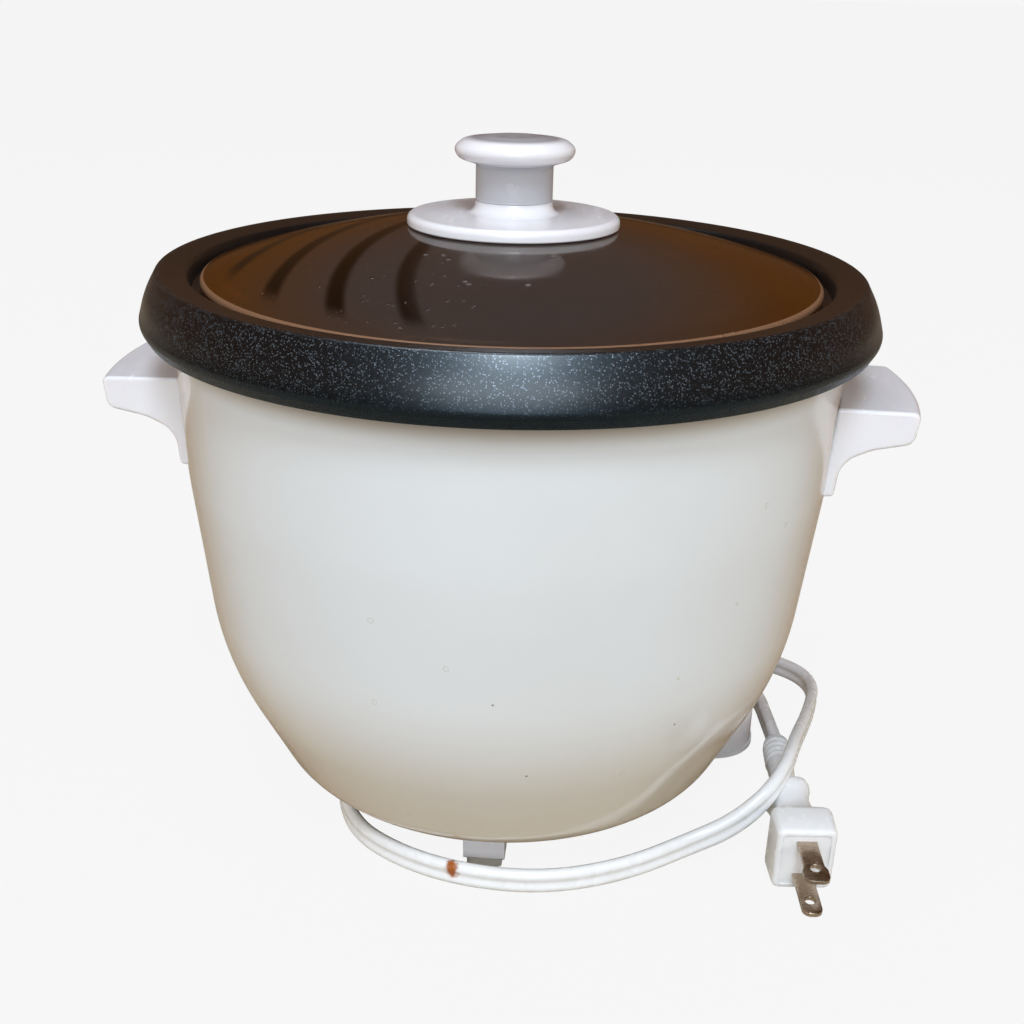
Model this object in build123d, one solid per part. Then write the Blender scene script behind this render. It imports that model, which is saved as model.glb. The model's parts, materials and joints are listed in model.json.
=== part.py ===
from build123d import *
import os
from math import cos, pi, radians, sin, sqrt, tan

# Rice cooker with a lift-out coated pot, a glass lid and a press-down cook lever.
# Millimetres. +Z is up and z = 0 is the surface that the feet stand on. The origin is
# under the middle of the pot. The handles lie on +X and -X, the control housing is at
# the front on +Y, and the single rear foot is at -Y.

# ---- driving dimensions ----
FIT = 0.2                     # clearance round screws and loose inner pieces
SCREW_RADIUS = 2.0
SCREW_HEAD_RADIUS = 3.6
CUT = 5.0                     # how far a cutter reaches past what it cuts
BIG = 400.0                   # side of the boxes that trim whole shapes

# Outer shell
SHELL_TOP = 172.0             # top flange, hidden inside the pot's brim
SHELL_FLANGE = 103.0          # inside radius of that flange
SHELL_WALL = 1.2
SHELL_FLOOR = 14.0            # underside of the shell
# Corners of the shell's outline as radius, height and the rounding at that corner.
SHELL_OUTLINE = [(0.0, SHELL_FLOOR, 0.0), (74.8, SHELL_FLOOR, 17.0), (97.65, 59.7, 100.0),
                 (104.1, 119.0, 200.0), (107.9, SHELL_TOP, 0.0)]
SHELL_WINDOW = (-20, 20, 66, 110, 13, 46)    # x, y and z limits of the way to the lever
BASE_HOLE = 39.0
BASE_PLATE_RADIUS = 47.5
BASE_SCREW_CIRCLE = 43.5
BASE_SCREW_ANGLE = 50.0

# Pot
BRIM_RADIUS = 115.8           # widest radius of the brim before its edge is rounded
BRIM_LOW = 166.0              # lower edge of the brim
BRIM_TOP = 184.4
BRIM_TOP_RADIUS = 109.8       # outer edge of its nearly level top
POT_SHEET = 1.5
POT_RADIUS = 95.7             # outside of the wall at its top
POT_FOOT_RADIUS = 93.2        # the wall's radius where it would meet the floor
POT_FLOOR = 50.2              # underside of the pot
LEDGE_HEIGHT = 177.7          # the step inside the brim that carries the lid

# Lid and knob
LID_RADIUS = 97.0
LID_EDGE = 4.0                # thickness of the glass
LID_CROWN = 197.5             # top of the glass at its middle
LID_BEAD = 3.5                # width of the level seat round the edge
GLASS_UNDERSIDE = LID_CROWN - LID_EDGE
KNOB_SCREW_RADIUS = 2.5
FLANGE_RADIUS = 33.3
FLANGE_TOP = 200.0
POST_FOOT = 203.7
POST_RADIUS = 12.0
CAP_LOW = 214.6               # where the cap begins on the post
CAP_RADIUS = 19.1             # widest radius of the cap before its edge is rounded
KNOB_TOP = 223.0
WASHER_RADIUS = 17.5
WASHER_LOW = 191.6
KNOB_SCREW_TOP = 216.0
KNOB_SCREW_HEAD = (5.0, 3.0)  # radius and height

# Handles
HANDLE_HALF_WIDTH = 27.0
HANDLE_REACH = 130.0          # radius of the outer edge
HANDLE_TOP = 149.0
HANDLE_FOOT = 120.0           # where the flared foot ends on the shell
HANDLE_SCREWS = (-14, 14)
HANDLE_SCREW_HEIGHT = 142.0
HANDLE_SCREW_SEAT = 103.8     # inside radius of the shell at the screws' heads
HANDLE_SCREW_HEAD = 2.4
HANDLE_SCREW_LENGTH = 14.0
HANDLE_BORE_END = 119.0       # distance from the middle at which the screw bores end

# Control housing, panel and feet
HOUSING_HALF_WIDTH = 92.0     # a half oval with rounded rear corners in plan
HOUSING_REAR = 2.0
HOUSING_CORNER = 16.0
HOUSING_FRONT = 104.0
HOUSING_FLOOR = 6.5
HOUSING_WALL = 2.5
SKIRT_REAR_TOP = 30.0
SKIRT_SLOPE = 9.0             # degrees, rising towards the front
TOWER_HALF_WIDTH = 40.0
TOWER_FRONT = 108.0
TOWER_TOP = 104.0
TOWER_CORNER = 9.0
TOWER_EDGE = 4.0              # rounding of its top edge
TOWER_WINDOW = (-24, 24, 95, TOWER_FRONT, 18.5, 88)    # behind the panel
PANEL_RECESS = 4.0
PANEL_BACK = TOWER_FRONT - PANEL_RECESS
PANEL_HALF_WIDTH = 31.0
PANEL_LOW = 16.0
PANEL_HIGH = 96.0
PANEL_CORNER = 5.0
PANEL_SHEET = 1.6
SLOT_HALF_WIDTH = 4.2
SLOT_LOW = 19.5
SLOT_HIGH = 31.0
LAMPS = [("cook", -13.0, 66.0), ("warm", 13.0, 66.0)]
LAMP_RADIUS = 4.0
LENS_FLANGE = (5.4, 1.4)      # radius and thickness
NEON_RADIUS = 2.6
NEON_LENGTH = 3.8
BOSSES = [(-68, 10), (68, 10), (-30, 97), (30, 97)]
BOSS_RADIUS = 4.6
BOSS_TOP = 12.4
BOSS_RIB = 1.2                # half the thickness of the rib beside each boss
COVER_SCREW_TOP = 11.6
COVER_BOTTOM = 5.0            # underside of the plate below the housing
FRONT_PAD = (46.0, 74.0, 8.0)  # x, y and radius of the front feet's pads
REAR_PAD = 3.0                # thickness of the rear foot's pad
FOOT_HALF_WIDTH = 6.7
FOOT_NEAR = -44.0
FOOT_FAR = -66.0
FOOT_SCREW_Y = -55.0
VENT_COUNT = 12
VENT = (14, 35, -1.5, 1.5)    # x and y limits of one vent slot in the base plate

# Heating plate and sensor
PLATE_RADIUS = 72.0
PLATE_TOP = 50.0
PLATE_BOTTOM = 40.0
SENSOR_HOLE = 17.5
LINER_SHEET = 0.8
ELEMENT_CIRCLE = 46.0
ELEMENT_RADIUS = 3.6
POST_CIRCLE = 59.0
POST_ANGLE = 15.0
POST_RADII = (4.5, 1.8)       # of the post's body and of its pin in the plate
POST_PIN_TOP = 44.5
COLD_END = (-44.7, 10.5, 25)  # x, distance from y = 0 and lower end
CAP_OUTER = 15.8
CAP_LOW_EDGE = 40.5
CAP_UNDERSIDE = 46.4
CORE_RADIUS = 8.0
CORE_LOW = 41.6
ROD_RADIUS = 1.9
SLEEVE_LOW = 33.0
SLEEVE_TOP = 42.8
SLEEVE_SHEET = 1.2
SLEEVE_RADIUS = 16.6
ARM_REACH = 30.0
ARM_POST = 27.0
SPRING_RADIUS = 10.2
SPRING_PITCH = 2.7
SPRING_TURNS = 4
SPRING_LOW = 34.9
SPRING_WIRE = 0.5
ROD_LOW = 17.0
MAGNET_LOW = 32.2
MAGNET_HEIGHT = 3.4
MAGNET_RADIUS = 8.0
MAGNET_BORE = 2.4
YOKE_SHEET = 1.4
YOKE_REACH = 66.0             # y of the end that the lever lifts
BAND_RADIUS = 98.3
BAND_LOW = 98.0
BAND_HIGH = 116.0
SWITCH_BODY = (9, 19, 44, 64)            # x and y limits
SWITCH_BUTTON = (12, 16, 51, 57)
SWITCH_TOP = 23.4
TERMINAL_BODY = (-32, -12, 8, 20)
TERMINAL_BARRIERS = (-32, -26, -19.5, -13.2)
TERMINAL_TOP = 21.0
FUSE_START = (14, 18, 37.4)
FUSE_LENGTH = 16.0
FUSE_RADIUS = 2.4
LEAD_RADIUS = 0.8
LEAD_LENGTH = 4.0             # beyond each end of the fuse

# Cook lever
LEVER_PIVOT = (80.0, 26.0)    # y and z of the lever's pin
LEVER_TIP_REACH = 18.0        # from the pin to the tip that lifts the magnet
LEVER_HALF_WIDTH = 3.0
LEVER_HUB = 4.2
PADDLE_HALF_WIDTH = 11.0
PIN_RADIUS = 1.5
PIN_HALF_LENGTH = 9.0
PADDLE_BACK = 107.2
PADDLE_FRONT = 113.0
PADDLE_HEIGHT = 9.0
EAR_GAP = 5.5                 # from the middle to the inner face of an ear
EAR_THICKNESS = 2.0
EAR_HALF_WIDTH = 5.0

# Cord, strain reliefs and plug
CORD_WIDTH = 8.0              # flat two-core cord, standing on its edge
CORD_RADIUS = CORD_WIDTH / 2.0
CORD_EXIT = (-52.0, -22.0, 9.98)
EXIT_RADIUS = 3.5
EXIT_DEPTH = 8.0              # y of the strain relief's inner end
# The free cord's corners, from the housing's strain relief to the plug's.
CORD_ROUTE = [
    CORD_EXIT, (-52.0, -37.0, 9.9), (-45.0, -53.0, 4.2), (-28.0, -66.5, 4.2),
    (-6.0, -74.5, 4.2), (20.0, -75.5, 4.2), (45.0, -66.5, 4.4), (67.0, -54.0, 7.5),
    (80.5, -51.5, 14.0), (91.5, -46.0, 22.4), (98.5, -33.5, 26.6), (103.0, -16.0, 24.8),
    (109.5, 8.0, 17.3), (116.0, 34.0, 10.0), (120.8, 57.0, 5.4), (116.5, 72.0, 4.3),
    (102.0, 81.5, 4.2), (84.0, 98.0, 4.2), (67.0, 124.0, 4.2), (46.0, 155.0, 4.2),
    (18.0, 181.0, 4.2), (-16.0, 200.0, 4.2), (-53.0, 210.0, 4.2), (-90.0, 208.0, 4.2),
    (-116.5, 182.5, 4.2), (-118.5, 146.0, 4.2), (-96.0, 117.0, 4.2), (-62.0, 111.0, 4.2),
    (-27.0, 118.5, 4.2), (10.0, 123.0, 4.2), (44.0, 114.0, 4.2), (68.0, 94.0, 4.2),
    (86.0, 72.0, 4.2), (98.0, 51.0, 4.4), (99.5, 29.0, 6.0), (100.4, 7.0, 9.2)]
RELIEF_TIP = CORD_ROUTE[-1]
ARC_SHARE = 0.45              # share of a run that each arc's tangent takes
PLUG_FACE = (101.6, -66.0, 12.6)
PLUG_LENGTH = 35.0
PLUG_YAW = 4.5                # degrees, the plug's nose turned towards +X
PLUG_DIP = 3.5                # degrees, the plug's nose below level
# Sections of the plug: distance behind its face, width, height and corner radius.
PLUG_SECTIONS = [
    (PLUG_LENGTH, 14.4, 13.8, 3.0), (31.5, 15.0, 14.2, 3.0), (26.0, 12.2, 12.0, 3.0),
    (19.0, 12.6, 12.6, 3.0), (14.0, 17.0, 20.0, 3.0), (11.0, 19.6, 23.6, 2.6),
    (0.0, 18.8, 22.8, 2.2)]
RELIEF_RADII = (4.6, 4.9)     # of the plug's strain relief, at the cord and at the plug
BLADE_SPACING = 12.7
BLADE_LENGTH = 17.5
BLADE_ROOT = 8.0              # length of a blade inside the plug
BLADE_WIDTH = 6.35
WIDE_BLADE_WIDTH = 7.95
BLADE_THICKNESS = 1.5
BLADE_FIT = 0.05


# ---- small helpers ----
def outline(points):
    """Closed face through (x, y) points; a third number rounds that corner."""
    radii = [point[2] if len(point) > 2 else 0.0 for point in points]
    corners = [(point[0], point[1]) for point in points]
    return make_face(FilletPolyline(*corners, radius=radii, close=True))


def turned(points):
    """Solid of revolution about Z from (radius, height) points."""
    return revolve(Plane.XZ * outline(points), Axis.Z)


def disc(radius, low, high, x=0.0, y=0.0):
    """Upright cylinder between two heights."""
    return Pos(x, y, low) * extrude(Circle(radius), high - low)


def block(x_low, x_high, y_low, y_high, z_low, z_high):
    """Box between two corners."""
    size = (x_high - x_low, y_high - y_low, z_high - z_low)
    return Pos((x_low + x_high) / 2, (y_low + y_high) / 2, (z_low + z_high) / 2) * Box(*size)


def around(piece, count, start=0.0):
    """Copies of a piece, evenly spaced about Z."""
    return [Rot(0, 0, start + 360.0 * index / count) * piece for index in range(count)]


def tube(points, radii, radius):
    """Round bar along straight runs joined by tangent arcs."""
    path = FilletPolyline(*points, radius=radii)
    section = Plane(origin=path @ 0, z_dir=path % 0) * Circle(radius)
    return sweep(section, path=path), path.length


def save(name, *solids):
    """Write one node from one or more separate solids."""
    found = [solid for shape in solids for solid in shape.solids()]
    node = found[0] if len(found) == 1 else Compound(children=found)
    export_step(node, f"parts/{name}.step")


# ---- the bowl-shaped outer shell ----
def bowl(inset, top):
    """Filled bowl inside the outer shell's surface by a given distance."""
    moved = [(0.0, SHELL_FLOOR + inset)]
    for before, here, after in zip(SHELL_OUTLINE, SHELL_OUTLINE[1:], SHELL_OUTLINE[2:]):
        normals = []
        for start, end in ((before, here), (here, after)):
            run = (end[0] - start[0], end[1] - start[1])
            length = sqrt(run[0] ** 2 + run[1] ** 2)
            normals.append((-run[1] / length, run[0] / length))
        first, second = normals
        share = inset / (1 + first[0] * second[0] + first[1] * second[1])
        moved.append((here[0] + share * (first[0] + second[0]),
                      here[1] + share * (first[1] + second[1]), here[2] - inset))
    moved.append((SHELL_OUTLINE[-1][0] - inset, SHELL_TOP))
    if top > SHELL_TOP:
        moved.append((SHELL_OUTLINE[-1][0] - inset, top))
    moved.append((0.0, top))
    return turned(moved)


def floor_hole(x=0.0, y=0.0):
    """Cutter for a screw's hole through the shell's floor."""
    return disc(SCREW_RADIUS + FIT, SHELL_FLOOR - CUT, SHELL_FLOOR + CUT, x=x, y=y)


def shell():
    """Outer shell with a rolled-in top flange, an open floor and a front window."""
    body = bowl(0, SHELL_TOP) - bowl(SHELL_WALL, SHELL_TOP + 1)
    rim = SHELL_OUTLINE[-1][0] - SHELL_WALL / 2
    flange = disc(rim, SHELL_TOP - SHELL_WALL, SHELL_TOP)
    flange -= disc(SHELL_FLANGE, SHELL_TOP - CUT, SHELL_TOP + CUT)
    body = body + flange
    body -= disc(BASE_HOLE, SHELL_FLOOR - CUT, SHELL_FLOOR + CUT)
    body -= block(*SHELL_WINDOW)
    for side in (-1, 1):
        for across in HANDLE_SCREWS:
            hole = Rot(0, side * 90, 0) * extrude(Circle(SCREW_RADIUS + FIT), HANDLE_REACH)
            body -= Pos(0, across, HANDLE_SCREW_HEIGHT) * hole
    for hole in around(floor_hole(x=BASE_SCREW_CIRCLE), 4, BASE_SCREW_ANGLE):
        body -= hole
    return body - floor_hole(y=FOOT_SCREW_Y)


# ---- pot and lid ----
def pot():
    """Deep drawn pot whose brim rolls over and hangs outside the shell."""
    inner = POT_RADIUS - POT_SHEET
    ledge_low = LEDGE_HEIGHT - POT_SHEET
    return turned([
        (0, POT_FLOOR), (POT_FOOT_RADIUS, POT_FLOOR, 22), (POT_RADIUS, ledge_low, 1),
        (101.3, ledge_low, 1.5), (101.9, BRIM_TOP - 2.7, 0.9),
        (108.7, BRIM_TOP - POT_SHEET, 1), (BRIM_RADIUS - 3.5, 177.0, 25),
        (BRIM_RADIUS - POT_SHEET, 170.0, 3), (112.3, BRIM_LOW + 0.6, 0.4),
        (113.6, BRIM_LOW, 0.5), (BRIM_RADIUS, 169.8, 3.2), (113.6, 177.6, 30),
        (BRIM_TOP_RADIUS, BRIM_TOP, 1.4), (100.6, BRIM_TOP - 1.3, 1.6),
        (99.8, LEDGE_HEIGHT, 1),
        (inner, LEDGE_HEIGHT, 2), (POT_FOOT_RADIUS - POT_SHEET, POT_FLOOR + POT_SHEET, 20.5),
        (0, POT_FLOOR + POT_SHEET)])


def dome(height, radius, low):
    """Filled cap of a sphere that is crowned at a height and cut off level below."""
    sag = LID_CROWN - (LEDGE_HEIGHT + LID_EDGE)
    ball_radius = (LID_RADIUS ** 2 + sag ** 2) / (2 * sag)
    ball = Pos(0, 0, height - ball_radius) * Sphere(ball_radius)
    return ball & disc(radius, low, KNOB_TOP)


def glass_height(radius, crown):
    """Height of the glass's spherical surface at a distance from the middle."""
    sag = LID_CROWN - (LEDGE_HEIGHT + LID_EDGE)
    ball_radius = (LID_RADIUS ** 2 + sag ** 2) / (2 * sag)
    return crown - ball_radius + sqrt(ball_radius ** 2 - radius ** 2)


def glass():
    """Domed glass lid, with a rounded edge, a level seat and a screw hole."""
    bore = KNOB_SCREW_RADIUS + FIT
    inner = LID_RADIUS - LID_BEAD
    seat = LEDGE_HEIGHT + 0.1
    top = ThreePointArc(*[(radius, glass_height(radius, LID_CROWN))
                          for radius in (bore, LID_RADIUS / 2, LID_RADIUS)])
    bottom = ThreePointArc(*[(radius, glass_height(radius, GLASS_UNDERSIDE))
                             for radius in (inner, inner / 2, bore)])
    edges = [top, Polyline(top @ 1, (LID_RADIUS, seat), (inner, seat), bottom @ 0), bottom,
             Line(bottom @ 1, top @ 0)]
    face = make_face(Curve() + edges)
    for corner, radius in ((top @ 1, 1.7), (Vector(LID_RADIUS, seat), 1.2)):
        nearest = sorted(face.vertices(), key=lambda vertex: (Vector(*vertex) - corner).length)
        face = fillet(nearest[0], radius)
    return revolve(Plane.XZ * face, Axis.Z)


def knob_pieces():
    """Flange on the glass, and the post and cap turned in one above it."""
    below = LEDGE_HEIGHT - CUT
    flange = turned([(0, below), (FLANGE_RADIUS, below), (FLANGE_RADIUS, FLANGE_TOP - 0.4, 2),
                     (POST_RADIUS + 0.3, FLANGE_TOP, 3), (POST_RADIUS, POST_FOOT, 0.5),
                     (0, POST_FOOT)])
    flange -= dome(LID_CROWN, LID_RADIUS, below)
    flange -= disc(KNOB_SCREW_RADIUS + FIT, below, KNOB_TOP)
    grip = turned([(0, POST_FOOT), (POST_RADIUS, POST_FOOT, 0.4), (POST_RADIUS, CAP_LOW, 1),
                   (17.6, CAP_LOW + 1.8, 3), (CAP_RADIUS, 219.4, 2.2), (16.0, 222.0, 4),
                   (8.0, KNOB_TOP, 20), (0, KNOB_TOP)])
    grip -= disc(KNOB_SCREW_RADIUS + FIT, below, KNOB_SCREW_TOP + FIT)
    washer = turned([(KNOB_SCREW_RADIUS + FIT, WASHER_LOW), (WASHER_RADIUS, WASHER_LOW, 1),
                     (WASHER_RADIUS, LID_CROWN), (KNOB_SCREW_RADIUS + FIT, LID_CROWN)])
    washer &= dome(GLASS_UNDERSIDE, LID_RADIUS, below)
    head_radius, head_height = KNOB_SCREW_HEAD
    screw = disc(head_radius, WASHER_LOW - head_height, WASHER_LOW)
    screw += disc(KNOB_SCREW_RADIUS, WASHER_LOW, KNOB_SCREW_TOP)
    screw -= block(-head_radius, head_radius, -0.6, 0.6, WASHER_LOW - CUT,
                   WASHER_LOW - head_height + 1)
    return flange, grip, washer, screw


# ---- handles ----
def handles():
    """Curved ledges with a flared foot against the shell, one on each side."""
    ring = turned([
        (BAND_RADIUS, HANDLE_TOP), (HANDLE_REACH, HANDLE_TOP - 0.5, 2.2),
        (HANDLE_REACH - 1.2, 138.4, 3.5), (117.0, 135.9, 14), (108.1, 131.6, 9),
        (107.0, HANDLE_FOOT + 0.3, 1.2), (BAND_RADIUS, HANDLE_FOOT)])
    ring -= bowl(0, SHELL_TOP)
    pair = []
    for side in (1, -1):
        slab = block(0, HANDLE_REACH, -HANDLE_HALF_WIDTH, HANDLE_HALF_WIDTH,
                     HANDLE_FOOT - CUT, HANDLE_TOP + CUT)
        piece = ring & (slab if side > 0 else Rot(0, 0, 180) * slab)
        for across in HANDLE_SCREWS:
            bore = extrude(Circle(SCREW_RADIUS + FIT), HANDLE_BORE_END)
            bore = Rot(0, side * 90, 0) * bore
            piece -= Pos(0, across, HANDLE_SCREW_HEIGHT) * bore
        pair.append(piece)
    return pair


def handle_screw(side, across):
    """Pan-head screw driven outwards from inside the shell."""
    start = sqrt(HANDLE_SCREW_SEAT ** 2 - (abs(across) + SCREW_HEAD_RADIUS) ** 2)
    turn = Rot(0, side * 90, 0)
    head = Pos(side * (start - HANDLE_SCREW_HEAD), across, HANDLE_SCREW_HEIGHT) * turn
    head = head * extrude(Circle(SCREW_HEAD_RADIUS), HANDLE_SCREW_HEAD)
    shank = Pos(side * start, across, HANDLE_SCREW_HEIGHT) * turn
    return head + shank * extrude(Circle(SCREW_RADIUS), HANDLE_SCREW_LENGTH)


# ---- control housing ----
def housing_plan(inset):
    """Half oval with rounded rear corners and a squared-off middle at the front."""
    widest = HOUSING_REAR + HOUSING_CORNER
    side = HOUSING_HALF_WIDTH - inset
    oval = Pos(0, widest) * Ellipse(side, HOUSING_FRONT - widest - inset)
    rear = Pos(0, widest) * RectangleRounded(2 * side, 2 * (HOUSING_CORNER - inset),
                                             HOUSING_CORNER - inset - 0.01)
    front_half = Pos(0, widest + BIG / 2) * Rectangle(BIG, BIG)
    return rear + (oval & front_half) + tower_plan(inset)


def tower_plan(inset):
    """Squared-off middle; its hollow stops short of the panel's seat."""
    middle = TOWER_HALF_WIDTH - inset
    front = TOWER_FRONT - inset - (PANEL_RECESS if inset > 0 else 0)
    return outline([(-middle, TOWER_HALF_WIDTH), (middle, TOWER_HALF_WIDTH),
                    (middle, front, TOWER_CORNER),
                    (-middle, front, TOWER_CORNER)])


def housing_volume(inset, floor):
    """Low skirt that rises towards the front, with an upright tower at the middle."""
    skirt = Pos(0, 0, floor) * extrude(housing_plan(inset), TOWER_TOP - floor)
    slope = Pos(0, 0, SKIRT_REAR_TOP - inset) * Rot(SKIRT_SLOPE, 0, 0)
    skirt -= slope * Pos(0, 0, BIG / 2) * Box(BIG, BIG, BIG)
    tower = Pos(0, 0, floor) * extrude(tower_plan(inset), TOWER_TOP - inset - floor)
    return skirt + tower


def panel_outline(inset):
    """Rounded rectangle of the panel's recess, drawn in x and z."""
    side = PANEL_HALF_WIDTH - inset
    low = PANEL_LOW + inset
    high = PANEL_HIGH - inset
    corner = PANEL_CORNER - inset
    return outline([(-side, low, corner), (side, low, corner), (side, high, corner),
                    (-side, high, corner)])


def control_housing():
    """Hollow moulding in front of and below the shell."""
    outside = housing_volume(0, HOUSING_FLOOR)
    top_edges = [edge for edge in outside.edges() if edge.center().Z > TOWER_TOP - 0.1]
    outside = fillet(top_edges, TOWER_EDGE)
    inside = housing_volume(HOUSING_WALL, HOUSING_FLOOR - 1)
    body = outside - inside
    for x, y in BOSSES:
        boss = disc(BOSS_RADIUS, HOUSING_FLOOR, BOSS_TOP, x=x, y=y)
        wall = HOUSING_REAR + 1 if y < HOUSING_FRONT / 2 else TOWER_FRONT - 1
        rib = block(x - BOSS_RIB, x + BOSS_RIB, min(y, wall), max(y, wall), HOUSING_FLOOR,
                    BOSS_TOP)
        body = body + boss + rib
        body -= disc(SCREW_RADIUS + FIT, 0, COVER_SCREW_TOP + 2 * FIT, x=x, y=y)
    body -= bowl(0, SHELL_TOP)
    body -= disc(BASE_PLATE_RADIUS + 2 * FIT, BOSS_TOP, SHELL_FLOOR + FIT / 2)
    body -= Pos(0, PANEL_BACK, 0) * Rot(90, 0, 0) * extrude(panel_outline(0), -20)
    body -= block(*TOWER_WINDOW)
    tunnel = Pos(CORD_EXIT[0], EXIT_DEPTH + 4, CORD_EXIT[2]) * Rot(90, 0, 0)
    body -= tunnel * extrude(Circle(EXIT_RADIUS), 30)
    return sorted(body.solids(), key=lambda solid: solid.volume)[-1]


def panel_plate():
    """Flat plate in the recess, with a lever slot and two lamp holes."""
    plate = Pos(0, PANEL_BACK, 0) * Rot(90, 0, 0) * extrude(panel_outline(FIT), -PANEL_SHEET)
    plate -= block(-SLOT_HALF_WIDTH, SLOT_HALF_WIDTH, 95, 115, SLOT_LOW, SLOT_HIGH)
    for name, x, z in LAMPS:
        hole = Pos(x, 95, z) * Rot(-90, 0, 0) * extrude(Circle(LAMP_RADIUS + FIT), 20)
        plate -= hole
    return plate


def lamp_lens(x, z):
    """Small domed lens with a flange behind the panel."""
    wide, flange = LENS_FLANGE
    profile = [(0, 0), (wide, 0), (wide, flange), (LAMP_RADIUS, flange),
               (LAMP_RADIUS, flange + 3.0, 1.2), (0, flange + 3.5)]
    return Pos(x, PANEL_BACK - flange - 0.1, z) * Rot(-90, 0, 0) * turned(profile)


def housing_cover():
    """Plate that closes the housing from below."""
    plate = Pos(0, 0, COVER_BOTTOM) * extrude(housing_plan(-0.6), HOUSING_FLOOR - COVER_BOTTOM)
    for x, y in BOSSES:
        plate -= disc(SCREW_RADIUS + FIT, 0, 10, x=x, y=y)
    for index in range(5):
        x = -24 + 12 * index
        plate -= block(x - 1.6, x + 1.6, 36, 62, 0, 10)
    return plate


def cover_screws():
    """Screws of the housing cover, driven up from below."""
    screws = []
    for x, y in BOSSES:
        head = disc(SCREW_HEAD_RADIUS, COVER_BOTTOM - SCREW_RADIUS, COVER_BOTTOM, x=x, y=y)
        screws.append(head + disc(SCREW_RADIUS, COVER_BOTTOM, COVER_SCREW_TOP, x=x, y=y))
    return screws


def rear_foot():
    """Tapered post under the rear of the shell."""
    side = outline([(FOOT_NEAR, REAR_PAD), (FOOT_FAR + 1.5, REAR_PAD, 1.5),
                    (FOOT_FAR, SHELL_FLOOR), (FOOT_NEAR, SHELL_FLOOR)])
    foot = Plane.YZ * extrude(side, FOOT_HALF_WIDTH, both=True)
    foot = fillet(foot.edges().filter_by(Axis.Z), 1.5)
    foot -= disc(BASE_PLATE_RADIUS + FIT, SHELL_FLOOR - SHELL_WALL - FIT, SHELL_FLOOR + CUT)
    return foot - disc(SCREW_RADIUS + FIT, HOUSING_FLOOR, SHELL_FLOOR + CUT, y=FOOT_SCREW_Y)


def base_plate():
    """Sheet closing the shell's floor, with vent slots and screw holes."""
    plate = disc(BASE_PLATE_RADIUS, SHELL_FLOOR - SHELL_WALL, SHELL_FLOOR)
    vent = block(*VENT, SHELL_FLOOR - CUT, SHELL_FLOOR + CUT)
    for slot in around(vent, VENT_COUNT, 180 / VENT_COUNT):
        plate -= slot
    for hole in around(floor_hole(x=BASE_SCREW_CIRCLE), 4, BASE_SCREW_ANGLE):
        plate -= hole
    return plate


# ---- heating and control works ----
def liner():
    """Bright inner shield between the pot and the outer shell."""
    lip = SHELL_TOP + LINER_SHEET
    return turned([
        (97.4, lip, 1.2), (105.8, lip), (105.8, SHELL_TOP), (98.2, SHELL_TOP, 0.4),
        (96.9, 71.8, 15), (82.9, 37.2, 3), (74.0, 37.2), (74.0, 38.0), (82.3, 38.0, 2.2),
        (96.1, 72.0, 14.2)])


def heating_plate():
    """Cast disc with a groove for its tubular element and a hole for the sensor."""
    plate = turned([(SENSOR_HOLE, PLATE_BOTTOM), (PLATE_RADIUS, PLATE_BOTTOM, 2),
                    (PLATE_RADIUS, PLATE_TOP, 4), (SENSOR_HOLE, PLATE_TOP, 1)])
    groove = Pos(0, 0, PLATE_BOTTOM) * Torus(ELEMENT_CIRCLE, ELEMENT_RADIUS + FIT)
    plate -= groove
    pin_hole = disc(POST_RADII[1] + FIT, PLATE_BOTTOM - CUT, POST_PIN_TOP + FIT, x=POST_CIRCLE)
    for hole in around(pin_hole, 3, POST_ANGLE):
        plate -= hole
    return plate


def heating_element():
    """Tubular element in an open ring with two upturned cold ends below."""
    ring = Pos(0, 0, PLATE_BOTTOM) * Torus(ELEMENT_CIRCLE, ELEMENT_RADIUS)
    x, y, low = COLD_END
    ring -= block(-PLATE_RADIUS, 0, 1.5 - y, y - 1.5, PLATE_BOTTOM - CUT, PLATE_TOP)
    ends = [disc(ELEMENT_RADIUS, low, PLATE_BOTTOM, x=x, y=side * y) for side in (-1, 1)]
    return ring + ends[0] + ends[1]


def heater_posts():
    """Three stepped posts that carry the heating plate above the shell's floor."""
    floor = SHELL_FLOOR + SHELL_WALL
    post = disc(POST_RADII[0], floor, PLATE_BOTTOM, x=POST_CIRCLE)
    post += disc(POST_RADII[1], PLATE_BOTTOM, POST_PIN_TOP, x=POST_CIRCLE)
    return around(post, 3, POST_ANGLE)


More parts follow.
